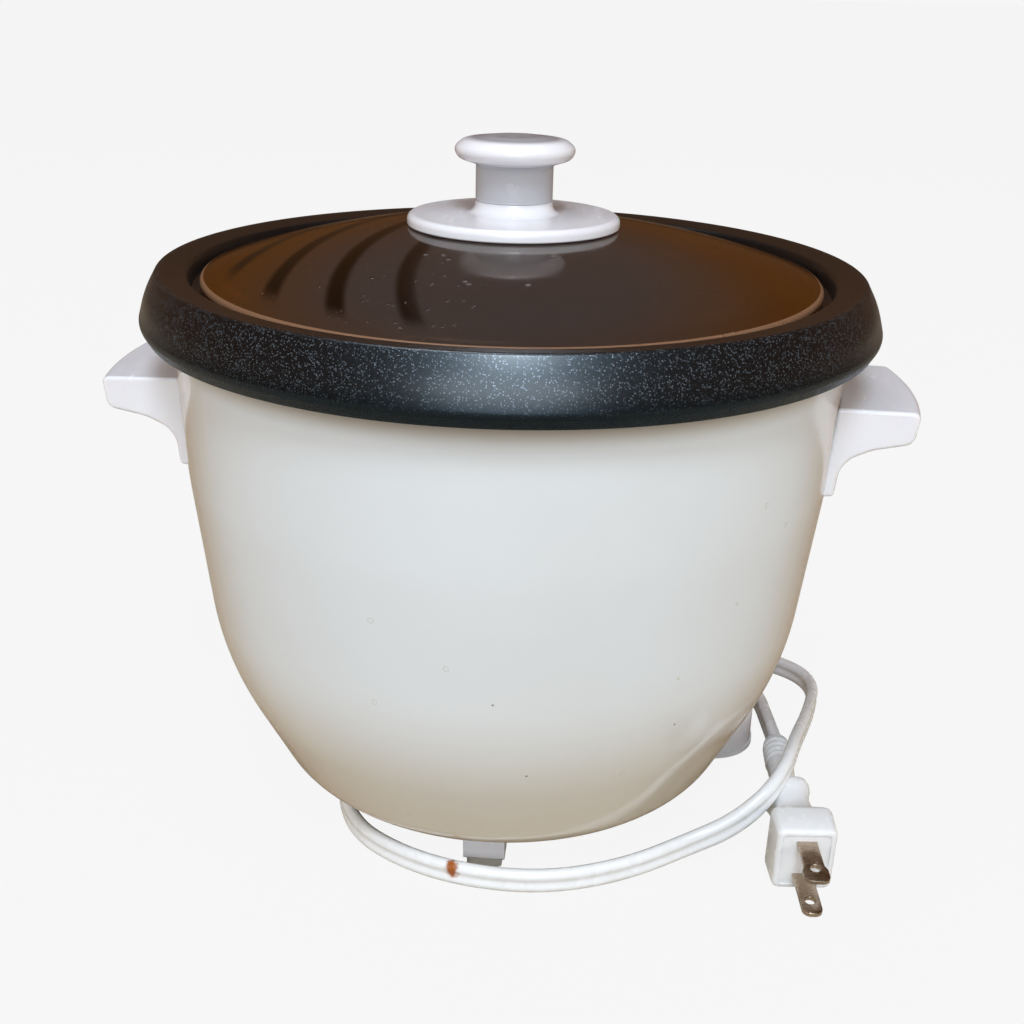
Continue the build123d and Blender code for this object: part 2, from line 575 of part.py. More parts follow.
def thermostat():
    """Sprung sensor under the pot: sleeve, moving cap and rod, spring and bracket."""
    ledge = SLEEVE_LOW + SLEEVE_SHEET
    bore = CORE_RADIUS + 0.8
    bracket = turned([
        (bore, SLEEVE_LOW), (SLEEVE_RADIUS, SLEEVE_LOW), (SLEEVE_RADIUS, SLEEVE_TOP),
        (13.4, SLEEVE_TOP), (13.4, ledge), (bore, ledge)])
    for angle in (90, 210, 330):
        arm = block(SLEEVE_RADIUS - 0.3, ARM_REACH, -4, 4, SLEEVE_LOW, ledge)
        arm += disc(2.5, ledge, PLATE_BOTTOM, x=ARM_POST)
        bracket += Rot(0, 0, angle) * arm
    cap = turned([
        (0, CAP_UNDERSIDE), (12.2, CAP_UNDERSIDE), (12.2, CAP_LOW_EDGE), (13.1, CAP_LOW_EDGE),
        (13.1, CAP_UNDERSIDE), (CAP_OUTER, CAP_UNDERSIDE), (CAP_OUTER, PLATE_TOP, 0.8),
        (0, PLATE_TOP)])
    core = disc(CORE_RADIUS, CORE_LOW, CAP_UNDERSIDE)
    rod = disc(ROD_RADIUS, ROD_LOW, CORE_LOW)
    coil = Helix(pitch=SPRING_PITCH, height=SPRING_PITCH * SPRING_TURNS, radius=SPRING_RADIUS)
    wire = Plane(origin=coil @ 0, z_dir=coil % 0) * Circle(SPRING_WIRE)
    spring = Pos(0, 0, SPRING_LOW) * sweep(wire, path=coil, is_frenet=True)
    return bracket, cap, core, rod, spring


def lever():
    """Cook lever: a paddle outside the panel, a neck, a hub and a lifting tip."""
    y, z = LEVER_PIVOT
    start = Pos(-LEVER_HALF_WIDTH, y, z) * Rot(0, 90, 0)
    hub = start * extrude(Circle(LEVER_HUB), 2 * LEVER_HALF_WIDTH)
    neck = block(-LEVER_HALF_WIDTH, LEVER_HALF_WIDTH, y, TOWER_FRONT, z, z + 4)
    tail = block(-LEVER_HALF_WIDTH, LEVER_HALF_WIDTH, y - LEVER_TIP_REACH, y, z - 4, z - 1)
    low = z - 1
    high = low + PADDLE_HEIGHT
    side = outline([(PADDLE_BACK, low, 1), (PADDLE_FRONT - 0.4, low, 1.8),
                    (PADDLE_FRONT, high, 1.8), (PADDLE_BACK, high, 1)])
    paddle = Plane.YZ * extrude(side, PADDLE_HALF_WIDTH, both=True)
    body = hub + neck + tail + paddle
    return body - Pos(-CUT, y, z) * Rot(0, 90, 0) * extrude(Circle(PIN_RADIUS + 0.05), 2 * CUT)


def lever_mount():
    """Pin of the lever and the two ears that hold it on the shell's floor."""
    y, z = LEVER_PIVOT
    pin = Pos(-PIN_HALF_LENGTH, y, z) * Rot(0, 90, 0)
    pin = pin * extrude(Circle(PIN_RADIUS), 2 * PIN_HALF_LENGTH)
    hole = Pos(-BIG / 2, y, z) * Rot(0, 90, 0) * extrude(Circle(PIN_RADIUS + 0.02), BIG)
    near = y - EAR_HALF_WIDTH
    far = y + EAR_HALF_WIDTH
    outer = EAR_GAP + EAR_THICKNESS
    bracket = block(-outer, outer, near, far, HOUSING_FLOOR, HOUSING_FLOOR + EAR_THICKNESS)
    for low, high in ((-outer, -EAR_GAP), (EAR_GAP, outer)):
        bracket += block(low, high, near, far, HOUSING_FLOOR, z + 4) - hole
    return pin, bracket


def magnet_carrier():
    """Yoke that the lever lifts, with the magnet under the sensor."""
    low = LEVER_PIVOT[1] - 1 + 0.3
    top = low + YOKE_SHEET
    ring = disc(MAGNET_RADIUS + 1, low, top) + disc(MAGNET_BORE + 1.8, top, MAGNET_LOW)
    ring -= disc(MAGNET_BORE, low, MAGNET_LOW)
    arm = block(-3.5, 3.5, MAGNET_RADIUS, YOKE_REACH, low, top)
    high = MAGNET_LOW + MAGNET_HEIGHT
    magnet = disc(MAGNET_RADIUS, MAGNET_LOW, high) - disc(MAGNET_BORE, MAGNET_LOW, high)
    return ring + arm, magnet


# ---- cord, strain reliefs and plug ----
def plug_plane(behind):
    """Plane square to the plug's axis, a distance behind its face."""
    forward = Vector(sin(radians(PLUG_YAW)) * cos(radians(PLUG_DIP)),
                     -cos(radians(PLUG_YAW)) * cos(radians(PLUG_DIP)),
                     -sin(radians(PLUG_DIP)))
    across = Vector(cos(radians(PLUG_YAW)), sin(radians(PLUG_YAW)), 0)
    return Plane(origin=Vector(*PLUG_FACE) - forward * behind, x_dir=across, z_dir=forward)


def plug():
    """Moulded plug body: flared rear, waist, shoulder and block."""
    sections = [plug_plane(behind) * RectangleRounded(width, tall, corner)
                for behind, width, tall, corner in PLUG_SECTIONS]
    body = loft(sections, ruled=True)
    for side in (1, -1):
        body -= blade(side, pocket=True)
    return body


def blade(side, pocket=False):
    """Flat blade; the upper one is the polarised one, wider towards its tip."""
    gap = BLADE_FIT if pocket else 0.0
    narrow = BLADE_WIDTH / 2 + gap
    wide = (WIDE_BLADE_WIDTH if side > 0 else BLADE_WIDTH) / 2 + gap
    plate = make_face(Polyline((-narrow, -BLADE_ROOT - gap), (narrow, -BLADE_ROOT - gap),
                               (narrow, 10.5), (wide, 12.5), (wide, BLADE_LENGTH),
                               (-wide, BLADE_LENGTH), (-wide, 12.5), (-narrow, 10.5),
                               close=True))
    tips = [corner for corner in plate.vertices() if corner.Y > BLADE_LENGTH - 0.1]
    solid = extrude(fillet(tips, 2.6), BLADE_THICKNESS / 2 + gap, both=True)
    stand = Pos(0, side * BLADE_SPACING / 2, 0) * Rot(90, 0, 0) * solid
    return plug_plane(0) * stand


def relief(start, end, start_radius, end_radius):
    """Straight tapered sleeve between two points."""
    run = Vector(*end) - Vector(*start)
    plane = Plane(origin=start, z_dir=run)
    return plane * (Pos(0, 0, run.length / 2) * Cone(start_radius, end_radius, run.length))


def cord():
    """Free cord with arcs as large as its runs allow."""
    points = [Vector(*point) for point in CORD_ROUTE]
    radii = []
    for before, here, after in zip(points, points[1:], points[2:]):
        into = here - before
        out = after - here
        turn = radians(into.get_angle(out))
        radii.append(ARC_SHARE * min(into.length, out.length) / tan(turn / 2))
    body, length = tube(CORD_ROUTE, radii, CORD_RADIUS)
    filled = body.volume / (pi * CORD_RADIUS ** 2 * length)
    print("cord arcs", [round(radius, 1) for radius in radii])
    print("cord length", round(length, 1), "volume ratio", round(filled, 4))
    return body


# ---- fixings, feet and small inner pieces ----
def shell_screws():
    """Screws of the base plate, driven from below, and of the rear foot, from inside."""
    floor = SHELL_FLOOR - SHELL_WALL
    plate_screw = disc(SCREW_HEAD_RADIUS, floor - 1.9, floor, x=BASE_SCREW_CIRCLE)
    plate_screw += disc(SCREW_RADIUS, floor, floor + 4.2, x=BASE_SCREW_CIRCLE)
    inside = SHELL_FLOOR + SHELL_WALL
    foot_screw = disc(SCREW_RADIUS, inside - 8.2, inside, y=FOOT_SCREW_Y)
    foot_screw += disc(SCREW_HEAD_RADIUS, inside, inside + 2, y=FOOT_SCREW_Y)
    return [foot_screw] + around(plate_screw, 4, BASE_SCREW_ANGLE)


def foot_pads():
    """Rubber pads: a round one under each front corner and a flat one at the rear."""
    x, y, radius = FRONT_PAD
    pad = turned([(0, 0), (radius, 0, 0.8), (radius - 0.8, COVER_BOTTOM), (0, COVER_BOTTOM)])
    front = [Pos(side * x, y, 0) * pad for side in (-1, 1)]
    rear = block(1 - FOOT_HALF_WIDTH, FOOT_HALF_WIDTH - 1, FOOT_FAR + 2.5, FOOT_NEAR - 1, 0,
                 REAR_PAD)
    return front, fillet(rear.edges().filter_by(Axis.Z), 1.2)


def micro_switch():
    """Switch body beside the lever, with its button on top."""
    body = block(*SWITCH_BODY, SHELL_FLOOR + SHELL_WALL, SWITCH_TOP)
    return body + block(*SWITCH_BUTTON, SWITCH_TOP, SWITCH_TOP + 1.2)


def terminal_block():
    """Three-way block with a raised barrier between its terminals."""
    body = block(*TERMINAL_BODY, SHELL_FLOOR, TERMINAL_TOP)
    for x in TERMINAL_BARRIERS:
        body += block(x, x + 1.2, *TERMINAL_BODY[2:], TERMINAL_TOP, TERMINAL_TOP + 3)
    return body


def thermal_fuse():
    """Fuse in its sleeve with a crimped lead at each end."""
    lead = extrude(Circle(LEAD_RADIUS), FUSE_LENGTH + 2 * LEAD_LENGTH)
    fuse = extrude(Circle(FUSE_RADIUS), FUSE_LENGTH)
    return Pos(*FUSE_START) * Rot(0, 90, 0) * (Pos(0, 0, -LEAD_LENGTH) * lead + fuse)


# ---- build every node ----
def main():
    os.makedirs("parts", exist_ok=True)
    save("outer_shell", shell())
    save("inner_pot", pot())
    save("glass_lid", glass())
    flange, grip, washer, screw = knob_pieces()
    save("knob_flange", flange)
    save("knob_grip", grip)
    save("knob_washer", washer)
    save("knob_screw", screw)
    right, left = handles()
    save("right_handle", right)
    save("left_handle", left)
    save("handle_screws", *[handle_screw(side, across)
                            for side in (-1, 1) for across in HANDLE_SCREWS])
    save("control_housing", control_housing())
    save("panel_face", panel_plate())
    for name, x, z in LAMPS:
        save(f"{name}_lens", lamp_lens(x, z))
        neon = Pos(x, PANEL_BACK - NEON_LENGTH - 1.8, z) * Rot(-90, 0, 0)
        neon = neon * extrude(Circle(NEON_RADIUS), NEON_LENGTH)
        save(f"{name}_lamp", neon)
    save("housing_cover", housing_cover())
    save("cover_screws", *cover_screws())
    save("base_plate", base_plate())
    save("base_screws", *shell_screws())
    save("rear_foot", rear_foot())
    front_pads, rear_pad = foot_pads()
    save("front_foot_pads", *front_pads)
    save("rear_foot_pad", rear_pad)
    save("inner_heat_shield", liner())
    save("heating_plate", heating_plate())
    save("heating_element", heating_element())
    save("heater_posts", *heater_posts())
    bracket, cap, core, rod, spring = thermostat()
    save("thermostat_bracket", bracket)
    save("thermostat_cap", cap)
    save("thermostat_core", core)
    save("thermostat_rod", rod)
    save("thermostat_spring", spring)
    save("cook_lever", lever())
    pin, ears = lever_mount()
    save("lever_pin", pin)
    save("lever_bracket", ears)
    yoke, magnet = magnet_carrier()
    save("magnet_yoke", yoke)
    save("magnet", magnet)
    save("micro_switch", micro_switch())
    save("terminal_block", terminal_block())
    save("thermal_fuse", thermal_fuse())
    band = disc(BAND_RADIUS + LINER_SHEET, BAND_LOW, BAND_HIGH)
    save("keep_warm_band", band - disc(BAND_RADIUS, BAND_LOW, BAND_HIGH))
    save("plug_body", plug())
    save("plug_blades", blade(1), blade(-1))
    save("plug_relief", relief(RELIEF_TIP, tuple(plug_plane(PLUG_LENGTH).origin),
                                *RELIEF_RADII))
    save("cord_relief", relief(CORD_EXIT, (CORD_EXIT[0], EXIT_DEPTH, CORD_EXIT[2]), 4.0, 3.3))
    save("power_cord", cord())


main()
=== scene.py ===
import json
from math import acos, atan2, cos, pi, radians, sin, sqrt, tan
import bmesh
import bpy
from mathutils import Matrix, Vector


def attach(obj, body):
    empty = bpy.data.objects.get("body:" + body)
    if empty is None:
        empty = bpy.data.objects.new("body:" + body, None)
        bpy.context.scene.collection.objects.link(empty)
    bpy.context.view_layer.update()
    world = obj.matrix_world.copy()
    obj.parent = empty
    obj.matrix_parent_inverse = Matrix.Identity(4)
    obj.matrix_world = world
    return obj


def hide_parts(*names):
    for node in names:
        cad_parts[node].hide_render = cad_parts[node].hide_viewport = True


# Rice cooker: enamelled bowl-shaped shell, black speckled pot, amber glass lid, white
# knob and handles, a control housing at the front and a free flat cord with its plug.
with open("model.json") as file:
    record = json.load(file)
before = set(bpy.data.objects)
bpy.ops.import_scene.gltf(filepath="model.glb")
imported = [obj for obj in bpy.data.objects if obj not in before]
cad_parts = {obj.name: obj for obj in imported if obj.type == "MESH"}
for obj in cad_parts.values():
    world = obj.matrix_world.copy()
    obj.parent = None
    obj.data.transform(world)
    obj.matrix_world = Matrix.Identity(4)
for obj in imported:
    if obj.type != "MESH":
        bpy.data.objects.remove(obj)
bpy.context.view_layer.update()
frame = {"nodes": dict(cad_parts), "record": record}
cad = frame["nodes"]
MM = 0.001

# ---- sizes shared by several pieces, in metres ----
SHELL_OUTLINE = [(0.0, 0.014, 0.0), (0.0748, 0.014, 0.017), (0.09765, 0.0597, 0.1),
                 (0.1041, 0.119, 0.2), (0.1079, 0.172, 0.0)]
SHELL_WALL = 0.0012
SHELL_FLANGE = 0.103          # inside radius of the rolled-in top flange
FLOOR_HOLE = 0.039            # radius of the opening in the shell's floor
POT_FLOOR = 0.0502            # underside of the pot
POT_SHEET = 0.0015
LEDGE_HEIGHT = 0.1777         # step in the pot that carries the lid
BRIM_DULL = 0.168             # below this height the brim is unlit
BRIM_BRIGHT = 0.176           # above this height it has its full gloss and its painted glints
LID_RADIUS = 0.097
LID_CROWN = 0.1975
LID_THICKNESS = 0.004
LID_SEAT = 0.0035             # width of the level ring under the lid's edge
KNOB_BORE = 0.0027
FLANGE_RADIUS = 0.0333
FLANGE_TOP = 0.2
POST_RADIUS = 0.012
POST_FOOT = 0.2037
KNOB_TOP = 0.223
HANDLE_HALF_WIDTH = 0.027
HANDLE_TOP = 0.149
HANDLE_FOOT = 0.12
HANDLE_SUNK = 0.0008          # how far the handles reach into the shell
CORD_WIDTH = 0.008
CORD_THICKNESS = 0.0042
SCORCH = (-0.009, -0.0745, 0.006)     # middle of the burnt spot on the cord

# ---- camera ----
CAMERA_DISTANCE = 0.4117      # level distance from the cooker's axis
CAMERA_HEIGHT = 0.2661
CAMERA_AZIMUTH = radians(4.5)
CAMERA_PITCH = radians(22.13)
CAMERA_YAW = radians(0.236)
CAMERA_ROLL = radians(1.37)
CAMERA_LENS = 45.7            # on a 36 mm wide sensor


def make_camera():
    """Camera behind the cooker, a little above it, with a slight roll."""
    heading = CAMERA_YAW - CAMERA_AZIMUTH
    ahead = Vector((sin(heading) * cos(CAMERA_PITCH), cos(heading) * cos(CAMERA_PITCH),
                    -sin(CAMERA_PITCH)))
    level = Vector((cos(heading), -sin(heading), 0.0))
    upright = level.cross(ahead)
    right = cos(CAMERA_ROLL) * level + sin(CAMERA_ROLL) * upright
    up = -sin(CAMERA_ROLL) * level + cos(CAMERA_ROLL) * upright
    data = bpy.data.cameras.new("camera")
    data.lens = CAMERA_LENS
    data.sensor_width = 36.0
    data.clip_start = 0.01
    camera = bpy.data.objects.new("camera", data)
    bpy.context.scene.collection.objects.link(camera)
    place = Matrix((right, up, -ahead)).transposed().to_4x4()
    place.translation = Vector((CAMERA_DISTANCE * sin(CAMERA_AZIMUTH),
                                -CAMERA_DISTANCE * cos(CAMERA_AZIMUTH), CAMERA_HEIGHT))
    camera.matrix_world = place
    bpy.context.scene.camera = camera


# ---- material helpers ----
class Shader:
    """A Principled material with short calls for the nodes that drive it."""

    def __init__(self, name, color, roughness, **sockets):
        self.material = bpy.data.materials.new(name)
        self.material.use_nodes = True
        self.tree = self.material.node_tree
        self.surface = self.tree.nodes["Principled BSDF"]
        self.set("Base Color", (*color, 1.0))
        self.set("Roughness", roughness)
        for key, value in sockets.items():
            self.set(key.replace("_", " "), value)
        coordinates = self.tree.nodes.new("ShaderNodeTexCoord")
        self.place = coordinates.outputs["Object"]

    def set(self, socket, value):
        """Set a socket of the Principled shader, or link an output to it."""
        if isinstance(value, bpy.types.NodeSocket):
            self.tree.links.new(value, self.surface.inputs[socket])
        else:
            self.surface.inputs[socket].default_value = value

    def node(self, kind, inputs=None, **options):
        """Add a node, set its options and fill or link its inputs."""
        made = self.tree.nodes.new(kind)
        for key, value in options.items():
            setattr(made, key, value)
        for key, value in (inputs or {}).items():
            if isinstance(value, bpy.types.NodeSocket):
                self.tree.links.new(value, made.inputs[key])
            else:
                made.inputs[key].default_value = value
        return made

    def stretched(self, scale):
        """Object coordinates scaled along each axis."""
        return self.node("ShaderNodeMapping", {
            "Vector": self.place, "Scale": scale}).outputs["Vector"]

    def noise(self, scale, detail=3.0, vector=None):
        """Noise from 0 to 1."""
        return self.node("ShaderNodeTexNoise", {
            "Vector": vector or self.place, "Scale": scale,
            "Detail": detail}).outputs["Fac"]

    def cells(self, scale, channel):
        """Random cells: distance to each cell's middle, and a random number per cell."""
        grain = self.node("ShaderNodeTexVoronoi", {"Vector": self.place, "Scale": scale})
        parts = self.node("ShaderNodeSeparateColor", {"Color": grain.outputs["Color"]})
        return grain.outputs["Distance"], parts.outputs[channel]

    def band(self, value, low, high, start=0.0, end=1.0):
        """Smooth step of a value between two limits."""
        return self.node("ShaderNodeMapRange", {
            "Value": value, "From Min": low, "From Max": high, "To Min": start,
            "To Max": end}, interpolation_type="SMOOTHSTEP").outputs["Result"]

    def math(self, operation, first, second=0.0):
        """One arithmetic step."""
        return self.node("ShaderNodeMath", {0: first, 1: second},
                         operation=operation).outputs["Value"]

    def times(self, first, second):
        """Product of two values."""
        return self.math("MULTIPLY", first, second)

    def mix(self, factor, first, second):
        """Blend of two colours."""
        made = self.tree.nodes.new("ShaderNodeMix")
        made.data_type = "RGBA"
        for socket, value in ((0, factor), (6, first), (7, second)):
            if isinstance(value, bpy.types.NodeSocket):
                self.tree.links.new(value, made.inputs[socket])
            else:
                made.inputs[socket].default_value = value if socket == 0 else (*value, 1.0)
        return made.outputs[2]

    def height(self):
        """Height above the floor, in metres."""
        return self.node("ShaderNodeSeparateXYZ", {"Vector": self.place}).outputs["Z"]

    def reach(self):
        """Distance from the cooker's upright axis, in metres."""
        level = self.node("ShaderNodeVectorMath", {0: self.place, 1: (1.0, 1.0, 0.0)},
                          operation="MULTIPLY").outputs["Vector"]
        return self.node("ShaderNodeVectorMath", {0: level},
                         operation="LENGTH").outputs["Value"]

    def away(self, point):
        """Distance from a point, in metres."""
        return self.node("ShaderNodeVectorMath", {0: self.place, 1: point},
                         operation="DISTANCE").outputs["Value"]

    def bump(self, value, distance):
        """Fine relief from a value."""
        made = self.node("ShaderNodeBump", {"Height": value, "Distance": distance,
                                            "Strength": 1.0})
        self.set("Normal", made.outputs["Normal"])


def enamel():
    """Off-white glossy enamel with dried drops and burnt specks; tan low down, partly heat
    yellowing and partly a painted warm reflection; a painted shadow under the brim; painted
    warm reflection at grazing edges.
    """
    look = Shader("shell_enamel", (0.70, 0.70, 0.69), 0.24, Coat_Weight=0.6,
                  Coat_Roughness=0.06)
    cloud = look.band(look.noise(9.0, 4.0), 0.35, 0.7)
    base = look.mix(cloud, (0.655, 0.685, 0.715), (0.635, 0.655, 0.67))
    # Tan low down: partly heat yellowing, partly a painted warm reflection of the table
    # below.
    yellowing_and_painted_bounce = look.band(look.height(), 0.09, 0.014)
    base = look.mix(look.times(yellowing_and_painted_bounce, 0.6), base, (0.60, 0.49, 0.32))
    # Painted shadow: a darker taupe band just under the brim, where the brim's shade falls.
    painted_brim_shadow = look.band(look.height(), 0.1565, 0.1645)
    base = look.mix(look.times(painted_brim_shadow, 0.8), base, (0.30, 0.235, 0.165))
    middle, chance = look.cells(140.0, "Red")
    ragged = look.math("ADD", middle, look.times(look.noise(500.0, 2.0), 0.18))
    ring = look.times(look.band(ragged, 0.235, 0.21), look.band(ragged, 0.165, 0.20))
    drops = look.times(ring, look.band(chance, 0.90, 0.91))
    base = look.mix(look.times(drops, 0.4), base, (0.42, 0.36, 0.27))
    middle, chance = look.cells(150.0, "Green")
    specks = look.times(look.band(middle, 0.085, 0.04), look.band(chance, 0.94, 0.945))
    base = look.mix(look.times(specks, 0.75), base, (0.12, 0.10, 0.08))
    # Painted reflection: warm tan mixed in where the surface turns away, standing in for
    # the warm room reflected at grazing angles.
    grazing = look.node("ShaderNodeLayerWeight", {"Blend": 0.4}).outputs["Facing"]
    edge = look.times(look.band(grazing, 0.5, 1.0), 0.8)
    look.set("Base Color", look.mix(edge, base, (0.52, 0.35, 0.20)))
    look.set("Roughness", look.band(look.noise(7.0, 0.0), 0.3, 0.7, 0.20, 0.27))
    return look.material


def pot_coating():
    """Near-black nonstick coating with a dense metallic speckle, duller low on the brim;
    the speckle's light colour is painted only high on the outer brim as painted glints.
    """
    look = Shader("pot_coating", (0.012, 0.013, 0.016), 0.36)
    middle, bright = look.cells(2400.0, "Red")
    sparkle = look.times(look.band(bright, 0.6, 1.0), look.band(middle, 0.6, 0.2))
    gloss = look.band(look.height(), BRIM_DULL, BRIM_BRIGHT)
    # Painted glints: the speckle gets its light colour only high on the outer brim, where
    # the lamps' highlight falls.
    painted_glint_area = look.times(gloss, look.band(look.reach(), 0.107, 0.1095, 0.12, 1.0))
    look.set("Base Color", look.mix(look.times(sparkle, painted_glint_area), (0.0022, 0.0024, 0.0032),
                                    (0.20, 0.25, 0.30)))
    look.set("Metallic", look.times(sparkle, 0.8))
    look.set("Specular IOR Level", 0.30)
    look.set("Specular Tint", (0.30, 0.72, 1.0, 1.0))
    look.set("Roughness", look.band(look.noise(35.0, 4.0), 0.3, 0.7, 0.29, 0.34))
    look.set("Coat Weight", gloss)
    look.set("Coat Roughness", 0.30)
    look.set("Coat IOR", 1.6)
    look.bump(look.math("ADD", bright, look.noise(2400.0, 2.0)), 0.00012)
    return look.material


def lid_glass():
    """Amber glass with patchy haze, a painted grey sheen at the front towards the camera,
    painted dark reflection bands to one side and a coppery edge.
    """
    look = Shader("lid_glass", (0.45, 0.15, 0.008), 0.03, IOR=1.5)
    reach = look.reach()
    edge = look.times(look.band(reach, 0.0956, 0.0961),
                      look.band(look.height(), 0.1800, 0.1806))
    haze = look.noise(22.0, 5.0, look.stretched((1.0, 2.2, 1.0)))
    amber = look.mix(look.band(look.noise(11.0, 2.0), 0.3, 0.7), (0.22, 0.066, 0.0012),
                     (0.29, 0.098, 0.002))
    # Painted reflection: a grey sheen mixed into the front of the dome, where the lamps'
    # reflection falls.
    painted_grey_sheen = look.band(look.away((0.0, -0.050, 0.19)), 0.090, 0.035)
    amber = look.mix(look.times(painted_grey_sheen, 0.9), amber, (0.150, 0.128, 0.122))
    # Painted reflection: dark curved bands on one side of the dome, standing in for
    # reflected curtains.
    away = look.away((0.075, -0.050, 0.19))
    painted_reflection_waves = look.math("SINE", look.times(away, 330.0))
    aside = look.times(look.band(away, 0.085, 0.105), look.band(reach, 0.092, 0.084))
    amber = look.mix(look.times(look.band(painted_reflection_waves, 0.35, 0.95), aside), amber,
                     (0.012, 0.006, 0.003))
    look.set("Base Color", look.mix(edge, amber, (0.30, 0.16, 0.09)))
    look.set("Transmission Weight", look.band(edge, 0.0, 1.0, 0.80, 0.35))
    look.set("Roughness", look.math("MAXIMUM", look.times(edge, 0.45),
                                    look.band(haze, 0.45, 0.8, 0.09, 0.22)))
    look.set("Specular Tint", (1.0, 0.78, 0.58, 1.0))
    middle, chance = look.cells(330.0, "Blue")
    wet = look.band(look.away((-0.026, -0.070, 0.187)), 0.034, 0.012)
    few = look.band(look.math("ADD", chance, look.times(wet, 0.35)), 0.94, 0.95)
    look.bump(look.times(look.band(middle, 0.3, 0.05), few), 0.0003)
    return look.material


def white_plastic(name="white_plastic", color=(0.80, 0.79, 0.83), roughness=0.16):
    """Glossy moulded plastic with faint clouds and marks, and a painted shadow darkening it
    round the knob's post under the cap.
    """
    look = Shader(name, color, roughness, Coat_Weight=0.25, Coat_Roughness=0.05,
                  Subsurface_Weight=0.06, Subsurface_Scale=0.004)
    darker = tuple(0.93 * part for part in color)
    base = look.mix(look.band(look.noise(30.0, 5.0), 0.4, 0.75), color, darker)
    # Painted shadow: the knob's post is darkened where the cap above it shades it.
    waist = look.times(look.band(look.reach(), 0.0150, 0.0125),
                       look.band(look.height(), 0.2025, 0.2045))
    look.set("Base Color", look.mix(look.times(waist, 0.8), base, (0.33, 0.33, 0.36)))
    marks = look.noise(140.0, 6.0, look.stretched((1.0, 0.25, 1.0)))
    look.set("Roughness", look.band(marks, 0.4, 0.75, roughness, roughness + 0.14))
    look.bump(look.noise(700.0, 2.0), 0.00003)
    return look.material


def metal(name, color, roughness, grain=(1.0, 1.0, 14.0), dirt=0.25):
    """Bare metal with directional grain and patchy tarnish."""
    look = Shader(name, color, roughness, Metallic=1.0)
    lines = look.noise(600.0, 3.0, look.stretched(grain))
    look.set("Roughness", look.band(lines, 0.3, 0.7, roughness * 0.75, roughness * 1.35))
    darker = tuple(part * (1.0 - dirt) for part in color)
    tarnish = look.band(look.noise(45.0, 5.0), 0.45, 0.8)
    look.set("Base Color", look.mix(tarnish, color, darker))
    look.bump(lines, 0.00002)
    return look.material


def rubber(name, color, roughness=0.7):
    """Matt rubber with a fine pebbled surface."""
    look = Shader(name, color, roughness)
    lighter = tuple(min(1.0, 1.5 * part + 0.01) for part in color)
    dust = look.band(look.noise(90.0, 4.0), 0.5, 0.9)
    look.set("Base Color", look.mix(dust, color, lighter))
    look.bump(look.noise(900.0, 3.0), 0.00008)
    return look.material


def cord_plastic():
    """Glossy white flexible plastic with grime in patches and one scorched spot."""
    look = Shader("cord_pvc", (0.80, 0.81, 0.83), 0.22, Coat_Weight=0.15)
    base = look.mix(look.band(look.noise(55.0, 5.0), 0.5, 0.85), (0.80, 0.81, 0.83),
                    (0.66, 0.65, 0.62))
    ragged = look.math("ADD", look.away(SCORCH), look.times(look.noise(420.0, 3.0), 0.004))
    look.set("Base Color", look.mix(look.band(ragged, 0.0054, 0.0036), base,
                                    (0.33, 0.09, 0.012)))
    look.set("Roughness", look.band(look.noise(120.0, 4.0), 0.35, 0.8, 0.2, 0.38))
    look.bump(look.noise(500.0, 2.0), 0.00004)
    return look.material


def lens(name, color):
    """Translucent moulded lens with a faint painted glow from its emission."""
    # Painted glow: a faint emission in the lens's own colour makes it glow by itself.
    look = Shader(name, color, 0.12, Transmission_Weight=0.35, IOR=1.49,
                  Emission_Color=(*color, 1.0), Emission_Strength=0.05)
    look.set("Base Color", look.mix(look.band(look.noise(400.0, 3.0), 0.4, 0.7), color,
                                    tuple(0.7 * part for part in color)))
    look.bump(look.noise(900.0, 1.0), 0.00005)
    return look.material


# ---- mesh helpers ----
def arc_corners(points, steps=9):
    """Outline whose (x, y, radius) corners are replaced by tangent arcs."""
    smooth = []
    count = len(points)
    for index, point in enumerate(points):
        here = Vector(point[:2])
        radius = point[2] if len(point) > 2 else 0.0
        if radius <= 0.0:
            smooth.append(here)
            continue
        back = (Vector(points[index - 1][:2]) - here).normalized()
        on = (Vector(points[(index + 1) % count][:2]) - here).normalized()
        half = acos(max(-1.0, min(1.0, back.dot(on)))) / 2
        centre = here + (back + on).normalized() * radius / sin(half)
        start = here + back * radius / tan(half) - centre
        end = here + on * radius / tan(half) - centre
        sweep = atan2(start.x * end.y - start.y * end.x, start.dot(end))
        for step in range(steps + 1):
            angle = sweep * step / steps
            smooth.append(centre + Matrix.Rotation(angle, 2) @ start)
    return smooth


def new_piece(name, vertices, faces, material, smooth=True):
    """Mesh object with consistent outward normals, rounded only across gentle edges."""
    mesh = bpy.data.meshes.new(name)
    mesh.from_pydata([tuple(vertex) for vertex in vertices], [], faces)
    build = bmesh.new()
    build.from_mesh(mesh)
    bmesh.ops.remove_doubles(build, verts=build.verts, dist=1e-7)
    bmesh.ops.recalc_face_normals(build, faces=build.faces)
    build.to_mesh(mesh)
    build.free()
    for face in mesh.polygons:
        face.use_smooth = smooth
    piece = bpy.data.objects.new(name, mesh)
    bpy.context.scene.collection.objects.link(piece)
    mesh.materials.append(material)
    if smooth:
        mesh.set_sharp_from_angle(angle=radians(35))
    return piece


